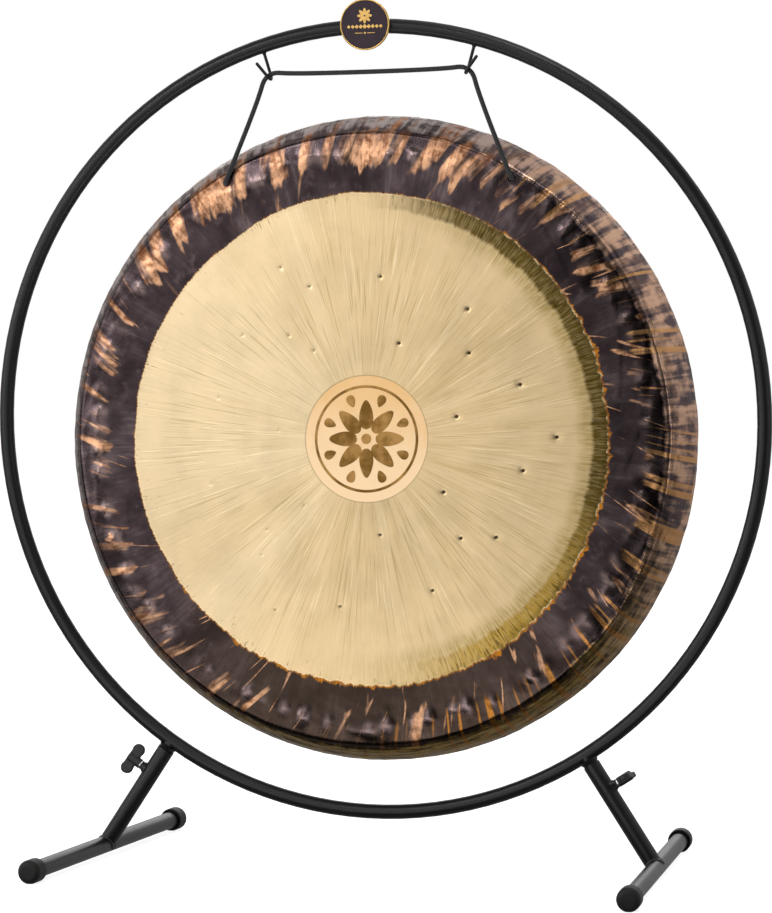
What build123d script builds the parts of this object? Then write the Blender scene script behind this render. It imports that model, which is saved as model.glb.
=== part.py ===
from build123d import *
from math import cos, pi, radians, sin, sqrt, tan
import os

# A tam tam gong hanging by a cord inside a round floor stand.
# Millimetres, +Z up. The origin is on the floor below the middle of the stand.
# The ring stands in the XZ plane and the gong's playing face looks towards -Y.

# ---- stand ----
ring_radius = 495.3            # centreline of the bent tube
ring_tube = 18.5               # outer diameter of the ring's tube
wall = 1.5                     # wall of every tube
ring_height = 566.0            # ring's centre above the floor
ring_turn = 1.15               # degrees that the ring's top fittings sit round to -X
leg_angle = 33.27              # degrees of each leg from straight down
leg_tube = 22.0
leg_top = 508.5                # leg's upper end, measured out from the ring's centre
spigot_tube = 18.8             # slides into the leg with 0.1 of play all round
spigot_depth = 62.0            # how far the spigot reaches into the leg
foot_tube = 22.0
foot_half = 241.4              # half of the foot tube's length
foot_height = 14.4             # foot's axis above the floor
vent = 8.0                     # hole through the ring's wall into each spigot
spigot_weld = (0.4, 3.4, 6.0)  # bead beyond the spigot at its foot and at its head, and its height
toe_out = 3.63                 # degrees that the feet's front ends point outwards

# ---- rubber end caps ----
cap_diameter = 30.0
cap_grip = 22.0                # how far a cap reaches over its tube
cap_end = 4.0                  # thickness of its closed end
cap_edge = 7.0                 # rounding of that end
cap_lip = 1.0                  # rounding of the open end
cap_mouth = (26.0, 3.0)        # diameter and depth of the clearance round the tube there

# ---- wing screws, M6 ----
screw_drop = 545.5             # screw's axis, measured out from the ring's centre
stud = 6.0
nut_flats = 10.0
nut_face = 16.6                # outer face of the welded nut, from the leg's axis
nut_start = 8.0                # inside the leg's wall
nut_weld = (9.4, 5.6, 6.2)     # radii and length of the bead round the nut
stud_reach = 12.0              # into the wing
washer_diameter = 12.0
washer_thickness = 1.2
touch_gap = 0.05               # between faces that meet but belong to different bodies
lobe_radius = 8.0
lobe_spacing = 26.5
lobe_thickness = 7.0
blade_width = 14.5             # of the web between the lobes
blade_middle = 12.5            # of the lobes, from the wing's seat
hub_diameter = 12.5
hub_length = 19.7
wing_turn = {"left": 12.0, "right": 84.0}   # degrees that each wing is turned from the leg's line

# ---- hooks under the ring ----
hook_angle = 16.35             # degrees either side of the top
hook_wire = 4.0
hook_bottom = 451.0            # centre of the wire at the seat, from the ring's centre
hook_gap = 10.6                # between the centres of the shank and of the free end
hook_tip = (9.5, -12.6, 474.0)  # the free end: outwards, forwards, and from the ring's centre
hook_weld = (2.0, 4.0)         # bead beyond the wire at the ring, and its height

# ---- gong ----
gong_x = -5.8                  # the gong hangs below the two hooks
gong_z = ring_height - 22.0
gong_lean = 2.15               # degrees, foot of the gong forwards
gong_turn = 0.77               # degrees in its own plane
hole_front = -2.5              # the gong's own XZ plane passes through this Y at the cord holes
plate = 1.6                    # thickness of the bronze sheet
dome_height = 8.0              # the middle stands this far in front of the lathed edge
dome_radius = 307.6
crease_radius = 387.0
crease_y = 3.6
rim_back = (409.8, 62.0)       # radius and depth of the rim's open edge
rim_swell = (402.2, 31.0)      # the same, half way back
hole_radius = 374.0            # cord holes, from the gong's centre
hole_angle = 29.9              # degrees either side of the top
hole_diameter = 7.0

# ---- hanging cord ----
cord = 5.9
hook_bend = 5.25               # cord's centreline round the hook's wire
hole_bend = 5.4                # cord's centreline into each hole
cord_route = [
    (-196.6, 1.5, 865.5),      # knot behind the left hole
    (-196.6, -5.3, 865.5),
    (-139.1, -5.3, 1001.4),    # over the left hook
    (121.8, -5.3, 1006.6),     # over the right hook
    (176.3, -5.3, 870.5),
    (176.3, 1.5, 870.5),       # knot behind the right hole
]
knot = 12.0                    # diameter of the stopper knots

# ---- badge on the top of the ring ----
badge_diameter = 64.0
badge_radius = 496.6           # badge's centre from the ring's centre
badge_rim_width = 2.0
badge_back = -12.0             # back face of the badge plate
badge_plate = 2.4
badge_relief = 0.5             # thickness of the ornament on the badge
saddle_diameter = 26.0         # welded between the ring and the badge
saddle_length = 6.5
petals = 8
petal = (1.9, 4.2)             # half of its width and of its length
petal_reach = 5.4              # petal's centre from the flower's
flower_eye = (1.2, 2.6)        # radii of the flower's open middle and of the disc round it
flower_height = 11.0           # flower's centre above the badge's
lozenges = 9                   # in the row across the badge
lozenge_pitch = 5.2
lozenge_size = 3.0             # half of the middle one's width
lozenge_taper = 0.18           # lost at each place outwards
lozenge_row = -2.5
divider_row = -10.5
divider_bar = (10.0, 0.8)
divider_stone = 1.6            # half of the small lozenge between the bars

parts = {}
sides = {"left": -1, "right": 1}


def tube(outer, length, inner=0.0):
    """A tube or rod along +Z from the origin."""
    body = extrude(Circle(outer / 2), amount=length)
    if inner:
        body -= Pos(0, 0, -1) * extrude(Circle(inner / 2), amount=length + 2)
    return body


def upright_cone(lower, upper, height):
    """A cone standing on the origin, with its lower and upper radii."""
    return Cone(lower, upper, height, align=(Align.CENTER, Align.CENTER, Align.MIN))


def along_x(start, shape):
    """Lay a shape made along +Z along +X, starting at a distance."""
    return Pos(start, 0, 0) * Rot(0, 90, 0) * shape


def ring_place(angle):
    """Moves a shape made above the ring's centre to an angle from the top."""
    return Pos(0, 0, ring_height) * Rot(0, angle - ring_turn, 0)


def leg_place(side):
    """Moves a shape made below the ring's centre onto a leg's axis."""
    return Pos(0, 0, ring_height) * Rot(0, -side * leg_angle, 0)


def screw_place(side):
    """The wing screw's axis as +X, with the leg's axis at X = 0."""
    return leg_place(side) * Pos(0, 0, -screw_drop) * Rot(0, 0, 90 - 90 * side)


def ring_solid():
    """The ring's outer surface as a full torus in its own place."""
    return Pos(0, 0, ring_height) * Rot(90, 0, 0) * Torus(ring_radius, ring_tube / 2)


# ---- ring ----
def make_ring():
    body = ring_solid()
    body -= Pos(0, 0, ring_height) * Rot(90, 0, 0) * Torus(ring_radius, ring_tube / 2 - wall)
    for side in sides.values():
        body -= leg_place(side) * Pos(0, 0, -ring_radius - ring_tube) * tube(vent, ring_tube)
    return body


def make_spigot(side):
    length = leg_top + spigot_depth - ring_radius
    body = Pos(0, 0, -ring_radius - length) * tube(spigot_tube, length, spigot_tube - 2 * wall)
    foot, head, height = spigot_weld
    clear = 0.6                # between the bead and the leg's upper end
    bead = Pos(0, 0, -leg_top + clear) * upright_cone(spigot_tube / 2 + foot, spigot_tube / 2 + head, height)
    bead -= Pos(0, 0, -leg_top - height) * tube(spigot_tube - 1, 4 * height)
    return leg_place(side) * (body + bead) - ring_solid()


def make_hook(side):
    tip_out, tip_y, tip_radius = hook_tip
    bend = hook_gap / 2 - 0.05
    ring_inside = ring_radius - ring_tube / 2
    weld_width, weld_height = hook_weld
    path = FilletPolyline(
        (0, 0, ring_inside + 2.5),
        (0, 0, hook_bottom),
        (0, -hook_gap, hook_bottom),
        (side * tip_out, tip_y, tip_radius),
        radius=bend,
    )
    start = Plane(origin=path @ 0, z_dir=path % 0)
    body = sweep(start * Circle(hook_wire / 2), path=path)
    body += Pos(path @ 1) * Sphere(hook_wire / 2)
    bead = upright_cone(hook_wire / 2, hook_wire / 2 + weld_width, weld_height)
    bead = Pos(0, 0, ring_inside - 0.55 * weld_height) * bead
    return ring_place(side * hook_angle) * (body + bead) - ring_solid()


# ---- badge ----
def badge_place():
    return ring_place(0) * Pos(0, 0, badge_radius) * Rot(90, 0, 0)


def make_saddle():
    body = Pos(0, badge_back, ring_radius) * Rot(-90, 0, 0) * tube(saddle_diameter, saddle_length)
    return ring_place(0) * body - ring_solid()


def make_badge_plate():
    body = tube(badge_diameter - 2 * badge_rim_width, badge_plate)
    return badge_place() * Pos(0, 0, -badge_back) * body


def make_badge_rim():
    body = tube(badge_diameter, badge_plate + 1.2, badge_diameter - 2 * badge_rim_width)
    top_edges = body.edges().filter_by(GeomType.CIRCLE).group_by(Axis.Z)[-1]
    body = fillet(top_edges, 0.8)
    return badge_place() * Pos(0, 0, -badge_back - 0.4) * body


def make_badge_emblem():
    """A small flower over a row of lozenges and a divider."""
    eye, disc = flower_eye
    flower = Circle(disc)
    for number in range(petals):
        flower += Rot(0, 0, number * 360 / petals) * Pos(0, petal_reach) * Ellipse(*petal)
    flower -= Circle(eye)
    ornament = Pos(0, flower_height) * flower
    for number in range(lozenges):
        offset = number - (lozenges - 1) / 2
        size = lozenge_size - lozenge_taper * abs(offset)
        ornament += Pos(offset * lozenge_pitch, lozenge_row) * RegularPolygon(size, 4)
    for way in (-1, 1):
        ornament += Pos(0.8 * way * divider_bar[0], divider_row) * Rectangle(*divider_bar)
    ornament += Pos(0, divider_row) * RegularPolygon(divider_stone, 4)
    body = extrude(ornament, amount=badge_relief)
    return badge_place() * Pos(0, 0, -badge_back + badge_plate) * body


# ---- legs ----
def foot_axis(side, height=foot_height):
    """The foot's own frame: +Z along the foot towards the back."""
    reach = (ring_height - foot_height) * tan(radians(leg_angle))
    return Pos(side * reach, 0, height) * Rot(0, 0, side * toe_out) * Rot(-90, 0, 0)


def make_leg_tube(side):
    reach = (ring_height - foot_height) / cos(radians(leg_angle))
    body = Pos(0, 0, -reach) * tube(leg_tube, reach - leg_top, leg_tube - 2 * wall)
    hole = Pos(0, 0, -screw_drop) * along_x(0, tube(stud + 1.0, 20))
    body -= Rot(0, 0, 90 - 90 * side) * hole
    saddle = foot_axis(side) * Pos(0, 0, -60) * tube(foot_tube, 120)
    return leg_place(side) * body - saddle


def make_clamp_nut(side):
    hexagon = RegularPolygon(nut_flats / 2, 6, major_radius=False)
    body = along_x(nut_start, extrude(hexagon, amount=nut_face - nut_start))
    body += along_x(nut_start, upright_cone(*nut_weld))
    body -= along_x(0, tube(stud + 0.2, 2 * nut_face))
    body -= Pos(0, 0, -leg_tube) * tube(leg_tube, 2 * leg_tube)
    return screw_place(side) * body


def make_foot(side):
    return foot_axis(side) * Pos(0, 0, -foot_half) * tube(foot_tube, 2 * foot_half, foot_tube - 2 * wall)


def make_cap(side, end):
    """end is -1 for the front cap and 1 for the back one."""
    body = tube(cap_diameter, cap_grip + cap_end)
    body = fillet(body.edges().filter_by(GeomType.CIRCLE).group_by(Axis.Z)[-1], cap_edge)
    body = fillet(body.edges().filter_by(GeomType.CIRCLE).group_by(Axis.Z)[0], cap_lip)
    body -= Pos(0, 0, -1) * tube(foot_tube, cap_grip + 1)
    mouth, mouth_depth = cap_mouth
    body -= Pos(0, 0, -1) * tube(mouth, mouth_depth + 1)
    turned = Rot(0, 0 if end > 0 else 180, 0) * Pos(0, 0, foot_half - cap_grip) * body
    placed = foot_axis(side) * turned
    floor = Pos(0, 0, -50) * Box(2000, 2000, 100)
    return placed - floor


# ---- wing screws ----
def make_washer(side):
    body = tube(washer_diameter, washer_thickness, stud + 0.4)
    return screw_place(side) * along_x(nut_face + touch_gap, body)


def make_wing(name):
    side = sides[name]
    seat = nut_face + washer_thickness + 2 * touch_gap
    blade = Pos(0, blade_middle) * Rectangle(lobe_spacing, blade_width)
    for way in (-1, 1):
        blade += Pos(way * lobe_spacing / 2, blade_middle) * Circle(lobe_radius)
    wing = Pos(0, lobe_thickness / 2, 0) * Rot(90, 0, 0) * extrude(blade, amount=lobe_thickness)
    outer = wing.edges().filter_by(Plane.XZ)
    wing = fillet(outer, 2.0)
    hub = tube(hub_diameter, hub_length)
    hub = fillet(hub.edges().filter_by(GeomType.CIRCLE).group_by(Axis.Z)[-1], 3.0)
    body = wing + hub
    body -= Pos(0, 0, -1) * tube(stud, stud_reach + 1)
    return screw_place(side) * along_x(seat, Rot(0, 0, wing_turn[name]) * body)


def make_stud(side):
    seat = nut_face + washer_thickness + 2 * touch_gap
    start = spigot_tube / 2 + 0.3
    body = tube(stud, seat + stud_reach - start)
    body = chamfer(body.edges().filter_by(GeomType.CIRCLE).group_by(Axis.Z)[0], 0.8)
    return screw_place(side) * along_x(start, body)


# ---- gong ----
def gong_place():
    lift = hole_radius * cos(radians(hole_angle))
    centre = Pos(gong_x, hole_front - lift * sin(radians(gong_lean)), gong_z)
    return centre * Rot(-gong_lean, 0, 0) * Rot(0, -gong_turn, 0)


def dome(radius, skin=0.0):
    """A point on the domed face, which is part of a sphere, at a distance inside its front skin."""
    sphere = (dome_radius ** 2 + dome_height ** 2) / (2 * dome_height)
    return (radius, sphere - dome_height - sqrt((sphere - skin) ** 2 - radius ** 2))


def rim_arcs(skin=0.0):
    """The band, shoulder and rim in (radius, depth), at a distance inside the front skin."""
    edge = (crease_radius - 6, crease_y - 1.6 + skin)
    corner = (crease_radius + 2 - 0.9 * skin, crease_y + 4 + 0.4 * skin)
    swell = (rim_swell[0] - skin, rim_swell[1] + 0.1 * skin)
    lip = (rim_back[0] - skin, rim_back[1])
    band = ThreePointArc(dome(dome_radius, skin), (345, skin - 0.4), edge)
    shoulder = ThreePointArc(edge, (crease_radius - 1 - 0.8 * skin, crease_y + 0.8 * skin), corner)
    return [band, shoulder, ThreePointArc(corner, swell, lip)]


def gong_section():
    """Half section of the gong, from its middle out to the rim's open edge."""
    middle = dome_radius / 2
    faces = [ThreePointArc(dome(0, skin), dome(middle, skin), dome(dome_radius, skin)) for skin in (0, plate)]
    ends = [Line(dome(0), dome(0, plate)), Line(rim_back, (rim_back[0] - plate, rim_back[1]))]
    return make_face(faces + ends + rim_arcs() + rim_arcs(plate))


def make_gong():
    body = revolve(gong_section(), axis=Axis.Y, revolution_arc=360)
    for side in sides.values():
        hole = Rot(0, side * hole_angle, 0) * Pos(0, -20, hole_radius) * Rot(-90, 0, 0) * tube(hole_diameter, 40)
        body -= hole
    return gong_place() * body


def make_cord():
    corners = [hole_bend, hook_bend, hook_bend, hole_bend]
    path = FilletPolyline(*cord_route, radius=corners)
    start = Plane(origin=path @ 0, z_dir=path % 0)
    body = sweep(start * Circle(cord / 2), path=path)
    print(f"cord length {path.length:.1f}, corner radii {corners}, volume ratio "
          f"{body.volume / (path.length * pi * cord ** 2 / 4):.5f}")
    return body


def make_knot(end):
    """A stopper knot whose flat front bears on the back of the gong and closes on the cord's end."""
    x, y, z = cord_route[end]
    front = 2.6
    ball = Sphere(knot / 2) & Pos(0, 0, 10 - front) * Box(20, 20, 20)
    return Pos(x, y + front, z) * Rot(-90, 0, 0) * ball


parts["ring_tube"] = make_ring()
parts["badge_saddle"] = make_saddle()
parts["badge_plate"] = make_badge_plate()
parts["badge_rim"] = make_badge_rim()
parts["badge_emblem"] = make_badge_emblem()
for name, side in sides.items():
    parts[name + "_hook"] = make_hook(side)
    parts[name + "_spigot"] = make_spigot(side)
    parts[name + "_leg_tube"] = make_leg_tube(side)
    parts[name + "_clamp_nut"] = make_clamp_nut(side)
    parts[name + "_foot_tube"] = make_foot(side)
    parts[name + "_front_cap"] = make_cap(side, -1)
    parts[name + "_back_cap"] = make_cap(side, 1)
    parts[name + "_washer"] = make_washer(side)
    parts[name + "_wing_head"] = make_wing(name)
    parts[name + "_wing_stud"] = make_stud(side)
parts["gong_plate"] = make_gong()
parts["hanging_cord"] = make_cord()
parts["left_knot"] = make_knot(0)
parts["right_knot"] = make_knot(-1)

os.makedirs("parts", exist_ok=True)
for node, solid in parts.items():
    solid.label = node
    export_step(solid, "parts/" + node + ".step")
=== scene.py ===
import math

import bmesh
import bpy
import numpy as np
from mathutils import Matrix, Vector


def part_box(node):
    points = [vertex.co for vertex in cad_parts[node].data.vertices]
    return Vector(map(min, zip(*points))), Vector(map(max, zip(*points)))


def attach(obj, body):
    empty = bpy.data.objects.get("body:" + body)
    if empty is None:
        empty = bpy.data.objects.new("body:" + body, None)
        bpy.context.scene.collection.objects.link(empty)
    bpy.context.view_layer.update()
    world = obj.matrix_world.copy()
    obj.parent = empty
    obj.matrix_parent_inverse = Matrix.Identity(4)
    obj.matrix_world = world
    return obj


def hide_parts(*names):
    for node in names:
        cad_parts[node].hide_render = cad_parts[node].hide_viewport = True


# A tam tam gong on its round floor stand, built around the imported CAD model.
# Blender works in metres; MM turns the millimetres of the real object into them.

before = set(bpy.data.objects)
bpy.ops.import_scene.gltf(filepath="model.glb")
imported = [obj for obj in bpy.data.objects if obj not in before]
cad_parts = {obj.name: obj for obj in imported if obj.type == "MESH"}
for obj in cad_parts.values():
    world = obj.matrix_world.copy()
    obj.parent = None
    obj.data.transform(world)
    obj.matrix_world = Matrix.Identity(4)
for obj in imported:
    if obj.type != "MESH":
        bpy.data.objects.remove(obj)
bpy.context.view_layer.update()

MM = 0.001
scene = bpy.context.scene
scene.view_settings.view_transform = "Standard"

# ---- camera ----
CAMERA_AZIMUTH = 15.616          # degrees to the right of the gong's front
CAMERA_ELEVATION = 2.597
CAMERA_DISTANCE = 4.8518         # from the ring's centre
CAMERA_LENS = 151.85             # on a sensor 36 mm along its long side
AIM_RIGHT = 0.0131               # the picture's middle, from the ring's centre
AIM_DOWN = 0.0449

# ---- gong ----
GONG_CENTRE = Vector((-5.8, -14.66, 544.0)) * MM
GONG_LEAN = -2.15                # degrees about X
GONG_TURN = -0.77                # degrees about Y
PLATE = 1.6                      # thickness, mm
DISC_RADIUS = 79.8               # copper disc in the middle
DOME_HEIGHT = 8.0
DOME_RADIUS = 307.6
DOME_SPHERE = (DOME_RADIUS ** 2 + DOME_HEIGHT ** 2) / (2 * DOME_HEIGHT)
BAND_HOLLOW = (345.0, -0.4)      # radius and depth of the flat band's hollow
BAND_EDGE = (381.0, 2.0)
CREASE = (386.0, 3.6)            # half way round the shoulder
SHOULDER = (389.0, 7.6)          # where the rim begins
RIM_SWELL = (402.2, 31.0)        # half way back
RIM_BACK = (409.8, 62.0)         # the rim's open edge
HOLE_RADIUS = 374.0
HOLE_ANGLE = 29.9
HOLE_SIZE = 7.0

# Punched dimples in the lathed face, in rings round its middle: each ring's radius, how many
# dimples it has, and the first one's degrees from the top. Each is moved a little at random.
DIMPLE_RINGS = [(122.0, 7, -30.0), (172.0, 4, 48.0), (210.0, 12, -20.0), (248.0, 3, -30.0)]
DIMPLE_OUTWARDS = 9.0            # most that one is moved in or out, mm
DIMPLE_ROUND = 5.0               # and round, degrees
DIMPLE_SIZE = 8.0
BUMP_COUNT = 82                  # hammered bumps in the row round the band
BUMP_ROW = 359.0                 # its radius
HOLLOW_COUNT = 40                # shallower marks among them
RIM_HAMMERS = 140                # hammered flats round the rim
PIT_SIZE = 4.4                   # sharp pit in the middle of each

# ---- rosette: middle's distance out, half length and half width of each petal and of each drop between ----
PETALS = 8
PETAL = (30.5, 18.5, 9.0)
DROP = (51.0, 8.0, 5.4)
EYE = 6.5                        # radius of its middle
ROSETTE_RING = (64.0, 67.5)

# ---- hanging cord: the route's points in metres. Its two corners over the hooks are moved outwards,
# so that the smooth curve passes over the wire, and a point is added on each long run about
# 6 diameters from a hook and close to a hole ----
CORD = 5.9
CORD_ROUTE = [
    (-0.1966, 0.0015, 0.8655),       # knot behind the left hole
    (-0.1966, -0.0053, 0.8655),
    (-0.1939, -0.0053, 0.8718),
    (-0.1529, -0.0053, 0.9688),
    (-0.1420, -0.0053, 1.0056),      # over the left hook
    (-0.1037, -0.0053, 1.0021),
    (0.0864, -0.0053, 1.0059),
    (0.1247, -0.0053, 1.0109),       # over the right hook
    (0.1350, -0.0053, 0.9737),
    (0.1738, -0.0053, 0.8768),
    (0.1763, -0.0053, 0.8705),
    (0.1763, 0.0015, 0.8705),        # knot behind the right hole
]
KNOT_SIZE = 12.0

# ---- stand ----
RING_HEIGHT = 0.566
LEG_ANGLE = 33.27
TOE_OUT = 3.63
FOOT_HEIGHT = 14.4
TUBE_RADIUS = 11.0               # of legs and feet
SIDES = {"left": -1, "right": 1}


# ======== shader graphs ========
class Value:
    """A shader socket that takes part in arithmetic."""

    def __init__(self, graph, socket):
        self.graph = graph
        self.socket = socket

    def __add__(self, other):
        return self.graph.math("ADD", self, other)

    def __sub__(self, other):
        return self.graph.math("SUBTRACT", self, other)

    def __rsub__(self, other):
        return self.graph.math("SUBTRACT", other, self)

    def __mul__(self, other):
        return self.graph.math("MULTIPLY", self, other)

    def __truediv__(self, other):
        return self.graph.math("DIVIDE", self, other)

    __radd__ = __add__
    __rmul__ = __mul__


class Graph:
    """A procedural material under construction."""

    def __init__(self, name, **settings):
        self.material = bpy.data.materials.new(name)
        self.material.use_nodes = True
        self.nodes = self.material.node_tree.nodes
        self.links = self.material.node_tree.links
        self.shader = self.nodes["Principled BSDF"]
        for socket, value in settings.items():
            self.set(socket.replace("_", " "), value)

    def set(self, name, value):
        """Set or link one of the shader's own sockets."""
        self.feed(self.shader.inputs[name], value)

    def feed(self, socket, value):
        if isinstance(value, Value):
            self.links.new(value.socket, socket)
        elif isinstance(value, (tuple, list)) and len(value) == 3 and socket.type == "RGBA":
            socket.default_value = (*value, 1.0)
        else:
            socket.default_value = value

    def add(self, kind, inputs=(), output=0, **settings):
        node = self.nodes.new(kind)
        for name, value in settings.items():
            setattr(node, name, value)
        for key, value in dict(inputs).items():
            self.feed(node.inputs[key], value)
        return Value(self, node.outputs[output])

    def math(self, operation, a, b=0.0):
        return self.add("ShaderNodeMath", {0: a, 1: b}, operation=operation)

    def combine(self, x, y, z):
        return self.add("ShaderNodeCombineXYZ", {0: x, 1: y, 2: z})

    def millimetres(self):
        """The object's own coordinates in mm, as three values."""
        point = self.add("ShaderNodeTexCoord", output="Object")
        node = self.nodes.new("ShaderNodeSeparateXYZ")
        self.links.new(point.socket, node.inputs[0])
        return [Value(self, node.outputs[i]) * 1000.0 for i in range(3)]

    def point(self):
        """The same, as one vector."""
        return self.combine(*self.millimetres())

    def noise(self, vector, scale=1.0, detail=2.0, roughness=0.5):
        inputs = {"Vector": vector, "Scale": scale, "Detail": detail, "Roughness": roughness}
        return self.add("ShaderNodeTexNoise", inputs, output="Fac")

    def step(self, value, low, high, smooth=True):
        """0 below low, 1 above high."""
        kind = "SMOOTHSTEP" if smooth else "LINEAR"
        inputs = {"Value": value, "From Min": low, "From Max": high}
        return self.add("ShaderNodeMapRange", inputs, interpolation_type=kind, clamp=True)

    def mix(self, factor, a, b, blend_type="MIX"):
        node = self.nodes.new("ShaderNodeMix")
        node.data_type = "RGBA"
        node.blend_type = blend_type
        self.feed(node.inputs[0], factor)
        self.feed(node.inputs[6], a)
        self.feed(node.inputs[7], b)
        return Value(self, node.outputs[2])

    def shade(self, colour, factor):
        """Multiply a colour by a value."""
        return self.mix(1.0, colour, self.combine(factor, factor, factor), "MULTIPLY")

    def bump(self, height, distance, strength=1.0):
        inputs = {"Height": height, "Distance": distance, "Strength": strength}
        self.set("Normal", self.add("ShaderNodeBump", inputs))


def srgb(red, green, blue):
    """A colour seen on a screen, 0 to 255, as the light that Blender works in."""
    def linear(level):
        level /= 255
        return level / 12.92 if level <= 0.04045 else ((level + 0.055) / 1.055) ** 2.4
    return (linear(red), linear(green), linear(blue))


# ======== materials of the stand ========
def powder_coat():
    """Satin black paint with a fine orange-peel surface and the odd thin spot."""
    g = Graph("powder_coat", Roughness=0.4, Specular_IOR_Level=0.36)
    point = g.point()
    cloud = g.noise(point, 0.02, 3)
    grain = g.noise(point, 1.1, 2)
    g.set("Base Color", g.mix(cloud, srgb(8, 8, 9), srgb(15, 15, 16)))
    g.set("Roughness", 0.32 + 0.10 * cloud + 0.04 * grain)
    g.bump(g.noise(point, 0.25, 2), 0.00003, 0.15)
    return g.material


def rubber():
    g = Graph("moulded_rubber", Roughness=0.6, Specular_IOR_Level=0.35)
    point = g.point()
    dust = g.noise(point, 0.07, 4, 0.6)
    g.set("Base Color", g.mix(dust, srgb(8, 8, 8), srgb(22, 21, 20)))
    g.set("Roughness", 0.5 + 0.2 * dust)
    g.bump(g.noise(point, 1.8, 2), 0.0001, 0.6)
    return g.material


def wing_plastic():
    g = Graph("wing_plastic", Roughness=0.5)
    point = g.point()
    spark = g.noise(point, 2.6, 1)
    g.set("Base Color", g.mix(spark, srgb(10, 10, 11), srgb(24, 24, 25)))
    g.set("Roughness", 0.42 + 0.2 * spark)
    g.bump(spark, 0.00015, 0.7)
    return g.material


def zinc():
    g = Graph("zinc_plate", Metallic=1.0, Roughness=0.25)
    point = g.point()
    blotch = g.noise(point, 0.9, 3)
    g.set("Base Color", g.mix(blotch, (0.62, 0.64, 0.68), (0.84, 0.84, 0.83)))
    g.set("Roughness", 0.2 + 0.2 * blotch)
    g.bump(g.noise(point, 3.0, 2), 0.00005, 0.4)
    return g.material


def weld_metal():
    """Painted weld: the powder coat over a rippled bead."""
    g = Graph("painted_weld", Roughness=0.34)
    point = g.point()
    lumps = g.noise(point, 0.7, 3)
    g.set("Base Color", g.mix(lumps, srgb(12, 12, 13), srgb(24, 24, 25)))
    g.bump(lumps, 0.0004, 0.7)
    return g.material


def badge_enamel():
    g = Graph("badge_enamel", Roughness=0.4, Specular_IOR_Level=0.25)
    point = g.point()
    cloud = g.noise(point, 0.06, 3)
    speck = g.noise(point, 0.9, 2)
    base = g.mix(cloud, srgb(28, 20, 30), srgb(50, 34, 42))
    g.set("Base Color", g.shade(base, 0.85 + 0.3 * speck))
    g.set("Roughness", 0.34 + 0.16 * speck)
    g.bump(speck, 0.00005, 0.3)
    return g.material


def badge_gilt():
    g = Graph("badge_gilt", Metallic=1.0, Roughness=0.3)
    point = g.point()
    tone = g.noise(point, 0.2, 3)
    g.set("Base Color", g.mix(tone, srgb(196, 146, 72), srgb(240, 202, 128)))
    g.set("Roughness", 0.24 + 0.18 * tone)
    g.bump(g.noise(point, 1.5, 2), 0.00008, 0.4)
    return g.material


def braid():
    """Black polyester braid: the plaits are in the mesh, and the fibres are here."""
    g = Graph("black_braid", Roughness=0.75, Sheen_Weight=0.12, Sheen_Roughness=0.5)
    point = g.point()
    fibre = g.noise(point, 3.5, 3, 0.6)
    g.set("Base Color", g.mix(fibre, srgb(8, 8, 9), srgb(34, 34, 36)))
    g.set("Roughness", 0.62 + 0.25 * fibre)
    g.bump(fibre, 0.0003, 0.8)
    return g.material


# ======== material of the gong ========
GOLD = srgb(229, 203, 161)
GOLD_LIT = srgb(236, 213, 173)
GOLD_DEEP = srgb(206, 178, 128)
GOLD_STROKE = srgb(84, 66, 34)
PIT_SHADE = srgb(40, 30, 18)
OLIVE = srgb(164, 140, 80)
OLIVE_SHADE = srgb(92, 76, 32)
COPPER_DISC = srgb(240, 208, 166)
COPPER_DISC_DEEP = srgb(226, 184, 128)
CREAM = srgb(246, 226, 186)
AMBER = srgb(176, 112, 36)
OXIDE = srgb(78, 66, 68)
OXIDE_DARK = srgb(48, 39, 41)
OXIDE_PALE = srgb(138, 124, 124)
WORN_GREY_SHEEN = srgb(176, 163, 160)
WORN_PINK_SHEEN = srgb(214, 172, 144)
FLAME = srgb(220, 168, 130)
FLAME_DEEP = srgb(164, 98, 40)
CREASE_SHADE = srgb(16, 12, 12)


class Polar:
    """Radius and angle on the gong, with noise that has no seam round it."""

    def __init__(self, graph):
        self.g = graph
        self.x, self.y, self.z = graph.millimetres()
        self.point = graph.combine(self.x, self.y, self.z)
        self.radius = graph.math("SQRT", self.x * self.x + self.z * self.z)
        self.right = self.x / (self.radius + 0.01)
        self.up = self.z / (self.radius + 0.01)

    def around(self, times, along=0.0, detail=2.0, roughness=0.5, shift=0.0):
        """Noise with features 1/times radian wide and, with along in 1/mm, so long along the radius."""
        vector = self.g.combine(self.right * times, self.up * times, self.radius * along + shift)
        return self.g.noise(vector, 1.0, detail, roughness)

    def slanted(self, times, along, slant, detail=2.0, roughness=0.5, shift=0.0):
        """The same, turned by slant radian for each mm outwards."""
        turn = (self.radius - 350.0) * slant
        right = self.right + self.up * turn
        up = self.up - self.right * turn
        vector = self.g.combine(right * times, up * times, self.radius * along + shift)
        return self.g.noise(vector, 1.0, detail, roughness)

    def across_rim(self, times, along, detail=2.0, roughness=0.5, shift=0.0):
        """Noise with features 1/times radian wide and, with along in 1/mm, so long from front to back."""
        vector = self.g.combine(self.right * times, self.up * times, self.y * along + shift)
        return self.g.noise(vector, 1.0, detail, roughness)

    def towards(self, angle):
        """Cosine of the angle from a direction, in degrees clockwise from the top."""
        turn = math.radians(angle)
        return self.right * math.sin(turn) + self.up * math.cos(turn)

    def side(self, angle, low, high):
        """1 on the side that an angle points to, 0 away from it: low and high are cosines from it."""
        return self.g.step(self.towards(angle), low, high)


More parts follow.
